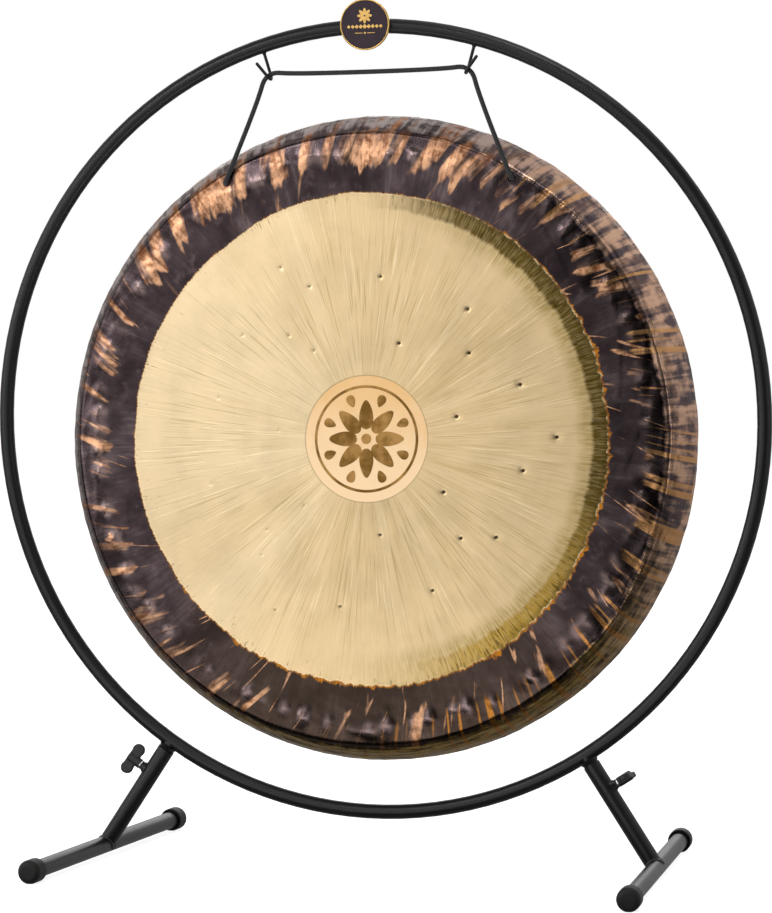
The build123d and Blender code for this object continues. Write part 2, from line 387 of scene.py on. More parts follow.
def lathed_face(g, p):
    """Cream gold with fine radial lines and painted radial sheen, lighter on the left with painted light; a
    painted olive shade along its right edge.
    """
    broad = p.around(2.6, 0.002, 3, shift=3.0)
    # painted sheen: broad light and dark radial streaks across the face, strongest towards the middle
    fans = p.around(9.0, 0.0015, 3, 0.6)
    lines = p.around(95.0, 0.008, 2, 0.6)
    hair = p.around(260.0, 0.03, 2, 0.6, shift=9.0)
    inner = 1.0 - g.step(p.radius, 110.0, 290.0)
    tone = 0.58 + (fans - 0.5) * (0.3 + 0.7 * inner)
    tone = tone + (lines - 0.5) * (0.3 + 0.4 * inner) + (hair - 0.5) * 0.5
    colour = g.mix(g.step(tone, 0.2, 0.85, False), GOLD_DEEP, GOLD)
    # painted light: the face lighter towards its left
    paler = g.step(p.towards(-70.0) * 0.6 + broad, 0.55, 1.05)
    colour = g.mix(paler * 0.7, colour, GOLD_LIT)
    spread = 1.0 - 0.75 * g.step(p.radius, 190.0, 290.0)
    light_hairs = g.step(p.around(105.0, 0.012, 1, 0.5, shift=111.0), 0.60, 0.72)
    dark_hairs = g.step(p.around(130.0, 0.014, 1, 0.5, shift=121.0), 0.58, 0.70)
    colour = g.mix(light_hairs * spread * 0.6, colour, CREAM)
    colour = g.mix(dark_hairs * spread * 0.5, colour, OLIVE)
    # painted shade: a darker olive ring that widens to the right, in two steps with scalloped edges
    side = p.side(98.0, -0.15, 0.7)
    wave = (p.around(11.0, 0.0, 2, shift=5.0) - 0.5) * 16.0 + (lines - 0.5) * 10.0
    first = g.step(p.radius + wave, 264.0, 284.0) * side
    second = g.step(p.radius + wave * 0.6, 286.0, 292.0) * p.side(86.0, 0.0, 0.55)
    hatch = g.step(p.around(120.0, 0.05, 2, 0.6, shift=131.0), 0.4, 0.62)
    golden = p.side(165.0, 0.4, 0.95)
    colour = g.mix(first * (0.4 + 0.4 * hatch), colour, OLIVE)
    shade = g.mix(golden, OLIVE_SHADE, srgb(176, 142, 62))
    colour = g.mix(second * (0.75 + 0.25 * hatch), colour, shade)
    # painted shade: the outermost few mm on the right darker still
    last = g.step(p.radius + wave * 0.5, 300.0, 308.0) * p.side(80.0, 0.2, 0.7)
    colour = g.mix(last * 0.5, colour, srgb(66, 52, 22))
    dashes = g.step(p.around(125.0, 0.06, 1, 0.5, shift=231.0), 0.56, 0.64)
    colour = g.mix(dashes * second * 0.55, colour, srgb(58, 46, 18))
    # short dark strokes near the edge
    strokes = p.around(150.0, 0.06, 3, 0.7, shift=21.0)
    near = g.step(p.radius, 262.0, 309.0)
    groups = p.around(6.0, 0.02, 2, shift=63.0)
    limit = 0.80 - near * 0.16 - (groups - 0.5) * 0.3 - second * 0.05
    cut = g.step(strokes - limit, 0.0, 0.03)
    colour = g.mix(cut * 0.75, colour, GOLD_STROKE)
    # large soft clouds and tarnish flecks
    clouds = g.noise(p.point, 0.013, 4, 0.6)
    colour = g.shade(colour, 0.92 + 0.1 * g.step(clouds, 0.34, 0.62))
    fleck = g.step(g.noise(p.point, 0.25, 3, 0.7), 0.74, 0.79)
    colour = g.mix(fleck * 0.3, colour, GOLD_STROKE)
    # painted shade: a dark core in each punched pit
    pits = punched_pits(g, p)
    colour = g.mix(g.step(pits, 0.25, 0.7) * 0.92, colour, PIT_SHADE)
    return colour, lines * 0.7 + hair * 0.5 + light_hairs * 0.8 - dark_hairs * 0.6 - pits * 7.0, lines


def punched_pits(g, p):
    """Sharp pits in the middles of the dimples: 1 in the deepest."""
    deepest = 0.0
    for across, above, deep in DIMPLES:
        centre = (across, float(dome_depth(math.hypot(across, above))), above)
        away = g.add("ShaderNodeVectorMath", {0: p.point, 1: centre}, output="Value", operation="DISTANCE")
        inputs = {"Value": away, "From Min": PIT_SIZE, "From Max": 0.6, "To Min": 0.0, "To Max": deep / 1.3}
        pit = g.add("ShaderNodeMapRange", inputs, interpolation_type="SMOOTHSTEP")
        deepest = g.math("MAXIMUM", pit, deepest)
    return deepest


def copper_disc(g, p):
    cloud = g.noise(p.point, 0.018, 4, 0.55)
    top = g.step(p.z, -60.0, 85.0, False)
    return g.mix(g.step(cloud * 0.8 + top * 0.7, 0.45, 1.15), COPPER_DISC, COPPER_DISC_DEEP)


def fired_band(g, p):
    """Dark oxide with copper flames that run in from the rim."""
    cloud = p.around(7.0, 0.014, 3, 0.6, shift=2.0)
    streaky = p.around(70.0, 0.012, 2, 0.6, shift=31.0)
    base = g.mix(g.step(cloud, 0.3, 0.7), OXIDE_DARK, OXIDE)
    base = g.mix(g.step(streaky * 0.4 + cloud * 0.6, 0.5, 0.68) * 0.25, base, OXIDE_PALE)
    smudges = g.noise(p.point, 0.045, 3, 0.6)
    base = g.mix(g.step(smudges, 0.55, 0.7) * 0.35, base, srgb(112, 96, 96))
    # the hammered bumps' tops lighter and pinker: part wear, part painted highlight
    raised = g.step(g.add("ShaderNodeAttribute", output="Fac", attribute_name="bumps"), 0.5, 2.8)
    base = g.mix(raised * 0.4, base, srgb(156, 134, 130))
    brown = p.side(180.0, 0.5, 0.95) * (1.0 - raised)
    base = g.mix(brown * 0.75, base, g.mix(cloud, srgb(30, 22, 16), srgb(74, 60, 48)))
    # flames are densest at the top and on the right, and towards the rim
    density = p.around(4.0, 0.0, 2, shift=14.0) - 0.5
    top = p.side(-8.0, 0.70, 0.90)
    right = p.side(78.0, 0.55, 0.9)
    # painted shade: the band darker on its right
    base = g.shade(base, 1.0 - 0.42 * right)
    low = p.side(205.0, 0.2, 0.8)
    left = p.side(-82.0, 0.5, 0.9)
    presence = 0.1 + 1.5 * top + 0.4 * right + 0.3 * low + 0.4 * left + 1.6 * density
    ragged = (p.around(26.0, 0.0, 1, shift=171.0) - 0.5) * 60.0
    reach = g.step(p.radius + ragged, 334.0, 350.0)
    tongues = p.slanted(18.0, 0.008, -0.001, 1, 0.4, shift=40.0)
    narrow = p.slanted(62.0, 0.012, -0.0012, 2, 0.5, shift=52.0)
    past_rim = g.step(p.radius, 386.0, 390.0)
    limit = 0.80 - presence * 0.11 - reach * 0.17 - past_rim * right * 0.06 + past_rim * top * 0.06
    flame = g.step(tongues * 0.74 + narrow * 0.26 - limit, -0.03, 0.09)
    # thin wandering copper lines, in places
    vein = g.math("ABSOLUTE", p.slanted(11.0, 0.0035, -0.0012, 1, 0.35, shift=90.0) - 0.5)
    gate = p.around(10.0, 0.016, 2, shift=71.0) + 0.14 * right + 0.10 * low + 0.05 * reach
    veins = (1.0 - g.step(vein - (gate - 0.66) * 0.03, 0.002, 0.012)) * g.step(gate, 0.62, 0.72)
    flame = g.math("MAXIMUM", flame, veins * 0.85)
    mottle = g.noise(p.point, 0.10, 3, 0.65)
    outer = g.step(p.radius, 372.0, 388.0)
    copper = g.mix(g.step(mottle * 0.7 + streaky * 0.5 - outer * 0.12, 0.40, 0.66), FLAME_DEEP, FLAME)
    smoky = g.step(mottle * 0.6 + streaky * 0.4, 0.36, 0.6)
    fade = 1.0 - 0.45 * g.step(p.radius, 370.0, 384.0) * (1.0 - past_rim)
    return g.mix(flame * (0.5 + 0.45 * smoky) * fade, base, copper), flame


def gong_front():
    g = Graph("gong_bronze", Metallic=1.0, Roughness=0.4, Specular_Tint=(0.78, 0.74, 0.72))
    p = Polar(g)
    gold, gold_relief, lines = lathed_face(g, p)
    band, flame = fired_band(g, p)
    colour = g.mix(g.step(p.radius, DISC_RADIUS - 0.5, DISC_RADIUS + 0.5), copper_disc(g, p), gold)
    ring = g.step(g.math("ABSOLUTE", p.radius - DISC_RADIUS), 0.0, 1.3)
    colour = g.mix((1.0 - ring) * 0.4, colour, GOLD_STROKE)
    # the edge of the lathed face wanders and has small teeth, bigger at the right and the bottom
    rough = p.side(140.0, -0.5, 0.6)
    wander = (p.around(1.6, 0.0, 1, shift=7.0) - 0.5) * 12.0 + (p.around(7.0, 0.0, 2) - 0.5) * 5.0
    teeth = (p.around(46.0, 0.0, 0, shift=17.0) - 0.5) * 7.0 * rough + (p.around(170.0, 0.0, 1) - 0.5) * 4.0
    edge = p.radius - wander - teeth - 309.5
    sprout = g.step(p.around(24.0, 0.0, 2, shift=77.0), 0.5, 0.8)
    fringe_width = 0.7 + 1.3 * rough + 7.0 * sprout * (0.3 + 0.7 * rough)
    rim_light = g.step(edge, -1.8, -0.9)
    fringe = g.step(edge, -0.5, 0.4)
    past_fringe = g.step(edge - fringe_width, -1.5, 1.0)
    uneven = p.around(40.0, 0.05, 2, 0.6, shift=141.0)
    colour = g.mix(rim_light * g.step(uneven, 0.4, 0.65) * 0.6, colour, CREAM)
    colour = g.mix(fringe, colour, g.mix(g.step(uneven, 0.35, 0.6), srgb(118, 78, 44), AMBER))
    colour = g.mix(past_fringe, colour, band)
    # the rim is worn grey, more so at the top with a painted reflection of the ceiling; streaked with copper
    # on the right, its pink partly painted highlight; and olive below
    outwards = p.radius + 0.5 * p.y
    right = p.side(82.0, 0.3, 0.85)
    bottom = p.side(172.0, 0.35, 0.95)
    top = p.side(-30.0, 0.3, 0.95)
    crease = 391.0 - 13.0 * right + (p.around(12.0, 0.0, 2, shift=61.0) - 0.5) * 14.0
    jagged = (p.around(30.0, 0.0, 3, 0.6, shift=151.0) - 0.5) * 20.0
    shoulder = g.step(outwards + jagged - crease, 0.0, 10.0)
    blotches = p.across_rim(15.0, 0.04, 3, 0.55, shift=101.0)
    scratches = p.across_rim(52.0, 0.012, 2, 0.5, shift=181.0)
    combed = p.across_rim(9.0, 0.3, 3, 0.6, shift=221.0)
    worn = blotches * 0.55 + scratches * 0.45
    rim = g.mix(g.step(worn, 0.43, 0.58) * (0.5 + 0.45 * top), colour, WORN_GREY_SHEEN)
    copper = g.mix(g.step(worn, 0.42, 0.60), srgb(92, 80, 84), WORN_PINK_SHEEN)
    rim = g.mix(right * 0.9, rim, copper)
    rim = g.mix(bottom * 0.85, rim, g.mix(g.step(combed, 0.40, 0.60), srgb(78, 60, 26), srgb(186, 154, 84)))
    colour = g.mix(shoulder, colour, rim)
    # thin ochre lines that run out over the shoulder, and amber ones below
    ochre = g.step(p.slanted(40.0, 0.003, -0.0006, 1, 0.5, shift=191.0), 0.57, 0.65)
    ochre = ochre * g.step(outwards + jagged * 1.5, 352.0, 366.0) * p.side(104.0, 0.1, 0.6)
    colour = g.mix(ochre * 0.8, colour, g.mix(bottom, srgb(212, 158, 104), srgb(160, 104, 40)))
    # painted shade: a broken black line along the crease, wider in patches on the right
    broken = g.step(p.around(9.0, 0.0, 2, shift=161.0), 0.42, 0.55)
    patchy = g.step(p.around(20.0, 0.0, 1, shift=211.0), 0.4, 0.65) * right
    line = 1.0 - g.step(g.math("ABSOLUTE", outwards - crease), 0.3 + 2.2 * patchy, 1.3 + 4.0 * patchy)
    line = line * broken * g.step(p.radius, 362.0, 366.0) * (1.0 - 0.6 * ochre)
    colour = g.mix(line * 0.8, colour, CREASE_SHADE)
    g.set("Base Color", colour)
    # gloss and small relief
    disc = 1.0 - g.step(p.radius, DISC_RADIUS - 1.0, DISC_RADIUS + 1.0)
    smooth = 0.06 * disc + 0.13 * past_fringe - 0.12 * flame * past_fringe
    g.set("Roughness", 0.40 - smooth + 0.1 * (lines - 0.5))
    pitted = g.noise(p.point, 0.3, 3, 0.6)
    flattened = {"Vector": g.combine(p.x, p.y * 1.5, p.z), "Scale": 0.075}
    facets = g.add("ShaderNodeTexVoronoi", flattened, feature="SMOOTH_F1")
    height = (1.0 - past_fringe) * (1.0 - disc) * gold_relief
    height = height + past_fringe * pitted * 2.0 + shoulder * facets * 11.0
    g.bump(height, 0.00016, 0.6)
    return g.material


def gong_back():
    """Bare dark oxide behind, with faint lathe rings in the middle."""
    g = Graph("gong_back", Metallic=1.0, Roughness=0.45)
    p = Polar(g)
    rings = g.noise(g.combine(p.radius * 0.35, 0.0, 0.0), 1.0, 3, 0.6)
    cloud = g.noise(p.point, 0.012, 4, 0.6)
    streak = p.around(22.0, 0.012, 3, 0.6)
    base = g.mix(g.step(cloud, 0.35, 0.65), srgb(52, 42, 38), srgb(92, 72, 58))
    base = g.mix(g.step(rings, 0.45, 0.7) * 0.4, base, srgb(140, 112, 80))
    base = g.mix(g.step(streak * g.step(p.radius, 300.0, 380.0), 0.5, 0.62) * 0.8, base, FLAME_DEEP)
    g.set("Base Color", base)
    g.set("Roughness", 0.38 + 0.16 * cloud)
    g.bump(rings + cloud, 0.0002, 0.6)
    return g.material


def etched():
    """Etched ornament in the middle of the gong."""
    g = Graph("etched_brown", Metallic=1.0, Roughness=0.5)
    point = g.point()
    cloud = g.noise(point, 0.035, 3, 0.6)
    grain = g.noise(point, 0.9, 2)
    base = g.mix(g.step(cloud, 0.35, 0.68), srgb(122, 88, 40), srgb(184, 142, 84))
    g.set("Base Color", g.shade(base, 0.88 + 0.22 * grain))
    g.set("Roughness", 0.42 + 0.2 * grain)
    g.bump(grain, 0.0001, 0.5)
    return g.material


# ======== mesh helpers ========
def new_object(name, vertices, faces, materials, smooth=True):
    mesh = bpy.data.meshes.new(name)
    mesh.from_pydata([tuple(v) for v in vertices], [], faces)
    mesh.validate()
    for material in materials:
        mesh.materials.append(material)
    piece = bpy.data.objects.new(name, mesh)
    scene.collection.objects.link(piece)
    if smooth:
        mesh.shade_smooth()
    return piece


def face_outwards(mesh):
    tidy = bmesh.new()
    tidy.from_mesh(mesh)
    bmesh.ops.recalc_face_normals(tidy, faces=tidy.faces)
    tidy.to_mesh(mesh)
    tidy.free()


def quads(a, b, n):
    """The faces between two closed rows of n points, which start at a and b."""
    return [(a + k, a + (k + 1) % n, b + (k + 1) % n, b + k) for k in range(n)]


def direction(azimuth, elevation):
    """Towards a place in degrees: azimuth 0 is in front of the gong, and rises to its right."""
    turn, lift = math.radians(azimuth), math.radians(elevation)
    return Vector((math.sin(turn) * math.cos(lift), -math.cos(turn) * math.cos(lift), math.sin(lift)))


def place(piece, body, slot, *nodes):
    """Ride on a body and stand for CAD nodes; the slot is not used."""
    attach(piece, body)
    if nodes:
        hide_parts(*nodes)
    return piece


def dress(node, material):
    """Give a CAD node that stays its detailed material."""
    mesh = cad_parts[node].data
    mesh.materials.clear()
    mesh.materials.append(material)


def cell_noise(u, v, columns, seed):
    """Distance to the nearest of a jittered grid of points, round u, which repeats after columns."""
    cell_u, cell_v = np.floor(u), np.floor(v)
    nearest = np.full(u.shape, 9.0)
    for step_u in (-1, 0, 1):
        for step_v in (-1, 0, 1):
            column, row = cell_u + step_u, cell_v + step_v
            key = np.mod(column, columns) * 12.9898 + row * 78.233 + seed * 37.719
            jitter_u = np.mod(np.sin(key) * 43758.5453, 1.0)
            jitter_v = np.mod(np.sin(key * 1.7 + 4.1) * 24634.6345, 1.0)
            distance = np.hypot(column + 0.15 + 0.7 * jitter_u - u, row + 0.15 + 0.7 * jitter_v - v)
            nearest = np.minimum(nearest, distance)
    return nearest


def waves(angle, seed, terms=((3, 1.0), (5, 0.8), (9, 0.6), (17, 0.5), (31, 0.35))):
    """A smooth random function round the gong, about -1 to 1."""
    rng = np.random.default_rng(seed)
    total = np.zeros_like(angle)
    for number, weight in terms:
        total += weight * np.sin(number * angle + rng.uniform(0, 2 * math.pi))
    return total / sum(weight for _, weight in terms)


# ======== gong mesh ========
def arc_through(a, b, c, count):
    """Points on the arc from a through b to c, without a."""
    (ax, ay), (bx, by), (cx, cy) = a, b, c
    d = 2 * (ax * (by - cy) + bx * (cy - ay) + cx * (ay - by))
    a2, b2, c2 = ax * ax + ay * ay, bx * bx + by * by, cx * cx + cy * cy
    ux = (a2 * (by - cy) + b2 * (cy - ay) + c2 * (ay - by)) / d
    uy = (a2 * (cx - bx) + b2 * (ax - cx) + c2 * (bx - ax)) / d
    start = math.atan2(ay - uy, ax - ux)
    sweep = math.atan2(cy - uy, cx - ux) - start
    middle = math.atan2(by - uy, bx - ux) - start
    if sweep * middle < 0 or abs(middle) > abs(sweep):
        sweep -= math.copysign(2 * math.pi, sweep)
    radius = math.hypot(ax - ux, ay - uy)
    return [
        (ux + radius * math.cos(start + sweep * i / count), uy + radius * math.sin(start + sweep * i / count))
        for i in range(1, count + 1)
    ]


def dome_depth(radius, skin=0.0):
    return DOME_SPHERE - DOME_HEIGHT - np.sqrt((DOME_SPHERE - skin) ** 2 - radius ** 2)


def outer_profile(skin, band_rows, shoulder_rows, rim_rows):
    """The band, shoulder and rim in (radius, depth), at a distance inside the front skin."""
    start = (DOME_RADIUS, float(dome_depth(DOME_RADIUS, skin)))
    edge = (BAND_EDGE[0], BAND_EDGE[1] + skin)
    crease = (CREASE[0] - 0.8 * skin, CREASE[1] + 0.8 * skin)
    corner = (SHOULDER[0] - 0.9 * skin, SHOULDER[1] + 0.4 * skin)
    swell = (RIM_SWELL[0] - skin, RIM_SWELL[1] + 0.1 * skin)
    lip = (RIM_BACK[0] - skin, RIM_BACK[1])
    rows = arc_through(start, (BAND_HOLLOW[0], BAND_HOLLOW[1] + skin), edge, band_rows)
    rows += arc_through(edge, crease, corner, shoulder_rows)
    rows += arc_through(corner, swell, lip, rim_rows)
    return rows


def random_dimples():
    """Each dimple's place, right of the middle and above it, and its depth: deeper towards the right."""
    rng = np.random.default_rng(8)
    dimples = []
    for ring, count, first in DIMPLE_RINGS:
        for k in range(count):
            degrees = first + 360 * k / count + rng.uniform(-DIMPLE_ROUND, DIMPLE_ROUND)
            radius = ring + rng.uniform(-DIMPLE_OUTWARDS, DIMPLE_OUTWARDS)
            across, above = math.sin(math.radians(degrees)), math.cos(math.radians(degrees))
            dimples.append((radius * across, radius * above, 0.85 + 0.4 * across))
    return dimples


def random_bumps():
    """The uneven row of hammered bumps round the band: angle, radius, half width, half length, height."""
    rng = np.random.default_rng(4)
    bumps = []
    for k in range(BUMP_COUNT):
        angle = (k + rng.uniform(-0.28, 0.28)) * 2 * math.pi / BUMP_COUNT
        radius = BUMP_ROW + 6.0 * float(waves(np.array(angle), 21, ((3, 1.0), (7, 1.0), (13, 1.0))))
        wide, long = rng.uniform(7.0, 10.5), rng.uniform(8.0, 13.0)
        bumps.append((angle, radius + rng.uniform(-4, 4), wide, long, rng.uniform(1.0, 3.6)))
    for k in range(HOLLOW_COUNT):
        angle, radius = rng.uniform(0, 2 * math.pi), rng.uniform(336, 376)
        bumps.append((angle, radius, rng.uniform(6, 10), rng.uniform(7, 14), rng.uniform(-1.4, 1.2)))
    return bumps


def hammered_bumps(radius, angle):
    """Height of the row of bumps alone."""
    height = np.zeros_like(radius)
    if 315 < radius[0] < 392:
        for turn, middle, wide, long, tall in BUMPS:
            off = np.mod(angle - turn + math.pi, 2 * math.pi) - math.pi
            height += tall * np.exp(-((off * middle / wide) ** 2) - ((radius - middle) / long) ** 2)
    return height


def rise(value, middle, width):
    """0 below the middle and 1 above it; with a negative width, the other way round."""
    return 1 / (1 + np.exp(-(value - middle) / width))


def relief(radius, depth, angle):
    """How far the hammered sheet stands in front of its plain shape, in mm, along its normal."""
    x, z = radius * np.sin(angle), radius * np.cos(angle)
    height = np.zeros_like(radius)
    if radius[0] < 300:
        for across, above, deep in DIMPLES:
            away = np.hypot(x - across, z - above) / DIMPLE_SIZE
            height -= 1.5 * deep * np.exp(-3.0 * away) * (away < 2.2)
            height += 0.05 * deep * np.exp(-((away - 1.3) ** 2) * 6)
    face = rise(radius, 300, -4)
    height += face * 0.12 * waves(angle + radius * 0.004, 5, ((7, 1.0), (12, 1.0), (19, 0.8)))
    # broad waves and bumps in the band
    band = rise(radius, 322, 5) * rise(radius, 384, -1.5)
    height += band * 0.9 * waves(angle, 11)
    height += band * 0.35 * waves(angle + radius * 0.01, 12, ((23, 1.0), (37, 0.8), (53, 0.6)))
    height += band * hammered_bumps(radius, angle)
    # hammered flats round the rim
    rim = rise(depth, 6, 1.5)
    cells = cell_noise(angle / (2 * math.pi) * RIM_HAMMERS, depth / 15.0, RIM_HAMMERS, 6)
    height -= rim * (0.5 - np.clip(cells, 0, 1) ** 2)
    height -= rim * 0.5 * waves(angle + depth * 0.02, 13, ((14, 1.0), (27, 0.8), (41, 0.7)))
    # a wandering groove along the shoulder
    groove = (depth - 5.4 - 2.0 * waves(angle, 30, ((6, 1.0), (13, 1.0), (23, 1.0)))) / 2.2
    height -= 0.6 * np.exp(-groove ** 2) * (radius > 380)
    return height


DIMPLES = random_dimples()
BUMPS = random_bumps()


def dome_rows(radii, segments, skin=0.0):
    """Rows across the dome: radius, depth, segments, back or not."""
    return [(radius, float(dome_depth(radius, skin)), segments, int(skin > 0)) for radius in radii]


def gong_rows():
    """The same for the whole closed skin, from the front's middle to the back's."""
    rows = dome_rows(np.arange(5.0, 60.0, 5.0), 180)
    rows += dome_rows(np.arange(60.0, 150.0, 3.0), 360)
    rows += dome_rows(np.linspace(150.0, DOME_RADIUS, 50), 720)
    rows += [(radius, depth, 720, 0) for radius, depth in outer_profile(0.0, 24, 5, 20)]
    lip_radius, lip_depth = RIM_BACK
    rows += [(lip_radius - 0.4, lip_depth + 0.5, 720, 0), (lip_radius - 1.2, lip_depth + 0.6, 720, 0)]
    rows += [(radius, depth, 360, 1) for radius, depth in reversed(outer_profile(PLATE, 8, 3, 10))]
    rows += dome_rows(np.linspace(DOME_RADIUS, 110.0, 12), 360, PLATE)
    rows += dome_rows(np.linspace(95.0, 8.0, 7), 180, PLATE)
    return rows


def gong_vertices(rows):
    """Every row's points, moved by the relief along the profile's normal, and the bumps' height there."""
    radii = np.array([row[0] for row in rows])
    depths = np.array([row[1] for row in rows])
    along_r, along_y = np.gradient(radii), np.gradient(depths)
    length = np.hypot(along_r, along_y)
    normal_r, normal_y = along_y / length, -along_r / length
    back = np.array([row[3] for row in rows]) == 1
    normal_r[back] *= -1
    normal_y[back] *= -1
    points, starts, bumps = [], [], []
    for row, (radius, depth, segments, is_back) in enumerate(rows):
        angle = np.arange(segments) * 2 * math.pi / segments
        bumps += list(hammered_bumps(np.full(segments, radius), angle) * (1 - is_back))
        high = relief(np.full(segments, radius), np.full(segments, depth), angle)
        r = radius + normal_r[row] * high
        y = depth + normal_y[row] * high
        starts.append(len(points))
        points += zip(r * np.sin(angle) * MM, y * MM, r * np.cos(angle) * MM)
    return points, starts, bumps


def gong_faces(rows, starts):
    """Quads between rows, with three triangles to a pair where a row has half the points."""
    faces, backs = [], []
    for row in range(len(rows) - 1):
        n, m = rows[row][2], rows[row + 1][2]
        a, b = starts[row], starts[row + 1]
        if n == m:
            new = quads(a, b, n)
        else:
            few, many, count = (a, b, n) if m > n else (b, a, m)
            new = []
            for k in range(count):
                low, high = few + k, few + (k + 1) % count
                one, two, three = many + 2 * k, many + 2 * k + 1, many + (2 * k + 2) % (2 * count)
                new += [(low, two, one), (low, high, two), (high, three, two)]
            if m < n:
                new = [face[::-1] for face in new]
        faces += new
        backs += [rows[row + 1][3]] * len(new)
    return faces, backs


def make_gong(front, back):
    rows = gong_rows()
    points, starts, bumps = gong_vertices(rows)
    faces, backs = gong_faces(rows, starts)
    for row, skin, is_back in ((0, 0.0, 0), (len(rows) - 1, PLATE, 1)):
        depth = float(dome_depth(0.0, skin))
        middle = len(points)
        points.append((0.0, depth * MM, 0.0))
        bumps.append(0.0)
        n, a = rows[row][2], starts[row]
        ring = [(middle, a + (k + 1) % n, a + k) for k in range(n)]
        faces += [tuple(reversed(face)) for face in ring] if is_back else ring
        backs += [is_back] * n
    gong = new_object("gong", points, faces, [front, back])
    gong.data.polygons.foreach_set("material_index", backs)
    gong.data.attributes.new("bumps", "FLOAT", "POINT").data.foreach_set("value", bumps)
    face_outwards(gong.data)
    drill_cord_holes(gong)
    gong.matrix_world = gong_matrix()
    return gong


def gong_matrix():
    lean = Matrix.Rotation(math.radians(GONG_LEAN), 4, "X")
    turn = Matrix.Rotation(math.radians(GONG_TURN), 4, "Y")
    return Matrix.Translation(GONG_CENTRE) @ lean @ turn


def drill_cord_holes(gong):
    """Cut the two holes through the sheet."""
    for side in SIDES.values():
        angle = math.radians(side * HOLE_ANGLE)
        bpy.ops.mesh.primitive_cylinder_add(
            vertices=40, radius=HOLE_SIZE / 2 * MM, depth=0.02,
            location=(HOLE_RADIUS * math.sin(angle) * MM, 0.001, HOLE_RADIUS * math.cos(angle) * MM),
            rotation=(math.pi / 2, 0, 0),
        )
        drill = bpy.context.object
        cut = gong.modifiers.new("hole", "BOOLEAN")
        cut.operation = "DIFFERENCE"
        cut.solver = "EXACT"
        cut.object = drill
        evaluated = gong.evaluated_get(bpy.context.evaluated_depsgraph_get())
        drilled = bpy.data.meshes.new_from_object(evaluated)
        gong.modifiers.clear()
        gong.data = drilled
        bpy.data.objects.remove(drill)
    gong.data.name = "gong"


def leaf(middle, long, wide, taper, steps):
    """The outline of a rounded leaf that points outwards: along, across."""
    turns = [2 * math.pi * k / steps for k in range(steps)]
    return [(middle + long * math.cos(t), wide * math.sin(t) * (1 + taper * math.cos(t))) for t in turns]


def turned(outline, angle):
    """A leaf's outline at an angle clockwise from the top."""
    sine, cosine = math.sin(angle), math.cos(angle)
    return [(along * sine + across * cosine, along * cosine - across * sine) for along, across in outline]


def make_rosette(material):
    """A generic eight-petalled rosette etched in the middle, each part of it a thin closed plate."""
    shapes = []
    for number in range(PETALS):
        angle = 2 * math.pi * number / PETALS
        shapes.append(turned(leaf(*PETAL, -0.3, 36), angle))
        shapes.append(turned(leaf(*DROP, 0.4, 24), angle + math.pi / PETALS))
    eye = [2 * math.pi * k / 40 for k in range(40)]
    shapes.append([(EYE * math.sin(t), EYE * math.cos(t)) for t in eye])
    points, faces = [], []
    for outline in shapes:
        centre = np.mean(outline, axis=0)
        n = len(outline)
        start = len(points)
        for inset, high in ((1.0, -0.4), (1.0, 0.06), (0.94, 0.16), (0.5, 0.16)):
            for x, z in outline:
                px, pz = centre + (np.array((x, z)) - centre) * inset
                y = float(dome_depth(math.hypot(px, pz))) - high
                points.append((px * MM, y * MM, pz * MM))
        for layer in range(3):
            faces += quads(start + layer * n, start + (layer + 1) * n, n)
        faces.append(tuple(start + 3 * n + k for k in range(n)))
        faces.append(tuple(reversed([start + k for k in range(n)])))
    points, faces = add_ring(points, faces, *ROSETTE_RING)
    rosette = new_object("gong_rosette", points, faces, [material], smooth=False)
    face_outwards(rosette.data)
    rosette.matrix_world = gong_matrix()
    return rosette


def add_ring(points, faces, inner, outer, count=180):
    """A thin raised ring on the dome, closed on all sides."""
    start = len(points)
    section = [(inner, -0.4), (inner, 0.08), (inner + 0.3, 0.16)]
    section += [(outer - 0.3, 0.16), (outer, 0.08), (outer, -0.4)]
    for radius, high in section:
        for k in range(count):
            turn = 2 * math.pi * k / count
            y = float(dome_depth(radius)) - high
            points.append((radius * math.sin(turn) * MM, y * MM, radius * math.cos(turn) * MM))
    for layer in range(len(section)):
        faces += quads(start + layer * count, start + (layer + 1) % len(section) * count, count)
    return points, faces


# ======== cord ========
def route_spline(points, name):
    """The route as one smooth NURBS curve with no bevel, and the points that Blender draws it with."""
    curve = bpy.data.curves.new(name, "CURVE")
    curve.dimensions = "3D"
    spline = curve.splines.new("NURBS")
    spline.points.add(len(points) - 1)
    for slot, point in zip(spline.points, points):
        slot.co = (*point, 1.0)
    spline.order_u = 3
    spline.use_endpoint_u = True
    spline.resolution_u = 24
    line = bpy.data.objects.new(name, curve)
    scene.collection.objects.link(line)
    bpy.context.view_layer.update()
    mesh = bpy.data.meshes.new_from_object(line.evaluated_get(bpy.context.evaluated_depsgraph_get()))
    path = np.array([v.co for v in mesh.vertices])
    bpy.data.objects.remove(line)
    bpy.data.meshes.remove(mesh)
    return path


def even_steps(path, step):
    """The same line with points an even distance apart."""
    lengths = np.r_[0, np.cumsum(np.linalg.norm(np.diff(path, axis=0), axis=1))]
    keep = np.r_[True, np.diff(lengths) > 1e-9]
    count = max(8, int(lengths[-1] / step))
    places = np.linspace(0, lengths[-1], count)
    return np.stack([np.interp(places, lengths[keep], path[keep, axis]) for axis in range(3)], axis=1), places


